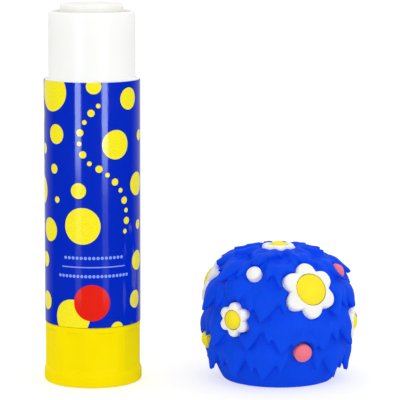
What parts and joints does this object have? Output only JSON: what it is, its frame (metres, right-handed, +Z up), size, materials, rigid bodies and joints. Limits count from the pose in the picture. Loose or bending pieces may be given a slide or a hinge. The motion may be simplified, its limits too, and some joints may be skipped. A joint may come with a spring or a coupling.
{
  "type": "glue stick",
  "caption": "Twist-up glue stick standing open, with a screw-fed glue carrier and a soft tufted cap set down beside it.",
  "frame": {"origin": "centre of the knob's base, on the table", "axes": "+Z up the stick's axis; +X from the stick to the cap that stands beside it; -Y is the side that the picture shows"},
  "size_m": [0.0832, 0.0412, 0.1002],
  "materials": {
    "barrel_plastic": "smooth moulded polypropylene, satin",
    "label_film": "glossy printed film: royal blue with yellow dots",
    "knob_plastic": "glossy moulded polypropylene, lemon yellow",
    "screw_plastic": "natural moulded plastic",
    "carrier_plastic": "natural moulded plastic",
    "glue_stick": "smooth, slightly waxy, a little translucent",
    "cap_soft": "soft vinyl, matt royal blue",
    "liner_plastic": "natural moulded plastic",
    "inlay_white": "soft vinyl, white",
    "inlay_yellow": "soft vinyl, yellow",
    "inlay_pink": "soft vinyl, pink"
  },
  "bodies": {
    "barrel": {"barrel": "barrel_plastic", "label_sleeve": "label_film"},
    "knob": {"twist_knob": "knob_plastic", "feed_screw": "screw_plastic"},
    "carriage": {"glue_carrier": "carrier_plastic", "glue": "glue_stick"},
    "cap": {"cap_shell": "cap_soft", "cap_liner": "liner_plastic", "flower_petals_1": "inlay_white", "flower_centre_1": "inlay_yellow", "flower_petals_2": "inlay_white", "flower_centre_2": "inlay_yellow", "flower_petals_3": "inlay_white", "flower_centre_3": "inlay_yellow", "flower_petals_4": "inlay_white", "flower_centre_4": "inlay_yellow", "flower_petals_5": "inlay_white", "flower_centre_5": "inlay_yellow", "flower_petals_6": "inlay_white", "flower_centre_6": "inlay_yellow", "flower_petals_7": "inlay_white", "flower_centre_7": "inlay_yellow", "dot_1": "inlay_white", "dot_2": "inlay_pink", "dot_3": "inlay_yellow", "dot_4": "inlay_pink", "dot_5": "inlay_white", "dot_6": "inlay_pink", "dot_7": "inlay_yellow"}
  },
  "joints": [
    {"name": "knob_turn", "type": "hinge", "parent": "barrel", "child": "knob", "pos_m": [0, 0, 0], "axis": [0, 0, 1], "range_deg": [-210, 3300]},
    {"name": "glue_feed", "type": "slide", "parent": "barrel", "child": "carriage", "axis": [0, 0, 1], "range_m": [-0.00351, 0.05501]},
    {"name": "cap_lift", "type": "slide", "parent": "barrel", "child": "cap", "axis": [0, 0, 1], "range_m": [0, 0.102]}
  ],
  "couplings": [
    {"joint": "glue_feed", "follows": "knob_turn", "m_per_rad": 0.00095493}
  ]
}
